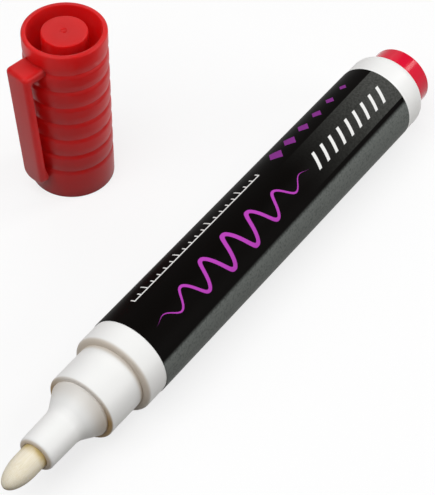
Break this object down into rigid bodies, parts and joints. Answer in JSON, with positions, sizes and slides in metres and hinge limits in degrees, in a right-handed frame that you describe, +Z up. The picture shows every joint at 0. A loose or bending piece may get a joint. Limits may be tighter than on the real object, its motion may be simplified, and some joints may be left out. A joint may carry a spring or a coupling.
{
  "type": "valve-action marker pen",
  "caption": "Thick valve-action marker pen lying with its cap off: bullet nib, stepped white front, dark label wrap, red tail plug, and a ribbed red cap with a pocket clip standing beside it.",
  "frame": {"origin": "on the pen's axis at the barrel's front face, where the cap's rim stops", "axes": "+X along the pen's axis towards the tail plug, +Z up from the floor it lies on"},
  "size_m": [0.131, 0.0612, 0.037],
  "materials": {
    "white_plastic": "moulded polypropylene, satin gloss",
    "label_film": "printed film, glossy",
    "red_gloss": "moulded polystyrene, glossy",
    "nib_fibre": "bonded polyester fibre, matt",
    "natural_plastic": "moulded polyethylene, natural",
    "spring_steel": "drawn stainless wire",
    "ball_steel": "polished steel",
    "red_satin": "moulded polypropylene, satin"
  },
  "bodies": {
    "pen": {"barrel": "white_plastic", "label": "label_film", "tail_plug": "red_gloss", "front_collar": "white_plastic", "nib_holder": "white_plastic", "valve_body": "natural_plastic", "spring_cage": "natural_plastic", "valve_spring": "spring_steel"},
    "nib": {"nib": "nib_fibre"},
    "valve_stem": {"valve_stem": "natural_plastic"},
    "mixing_ball": {"mixing_ball": "ball_steel"},
    "cap": {"cap": "red_satin"}
  },
  "joints": [
    {"name": "nib_press", "type": "slide", "parent": "pen", "child": "nib", "axis": [1, 0, 0], "range_m": [0, 0.0022], "stiffness_N_per_m": 600, "springref_m": -0.004, "deforming": ["valve_spring"]},
    {"name": "valve_lift", "type": "slide", "parent": "pen", "child": "valve_stem", "axis": [1, 0, 0], "range_m": [0, 0.0022]},
    {"name": "ball_run", "type": "slide", "parent": "pen", "child": "mixing_ball", "axis": [1, 0, 0], "range_m": [-0.031, 0.031]},
    {"name": "cap_lift", "type": "slide", "parent": "pen", "child": "cap", "axis": [0, 0, 1], "range_m": [0, 0.06]}
  ],
  "couplings": [
    {"joint": "valve_lift", "follows": "nib_press", "ratio": 1}
  ]
}
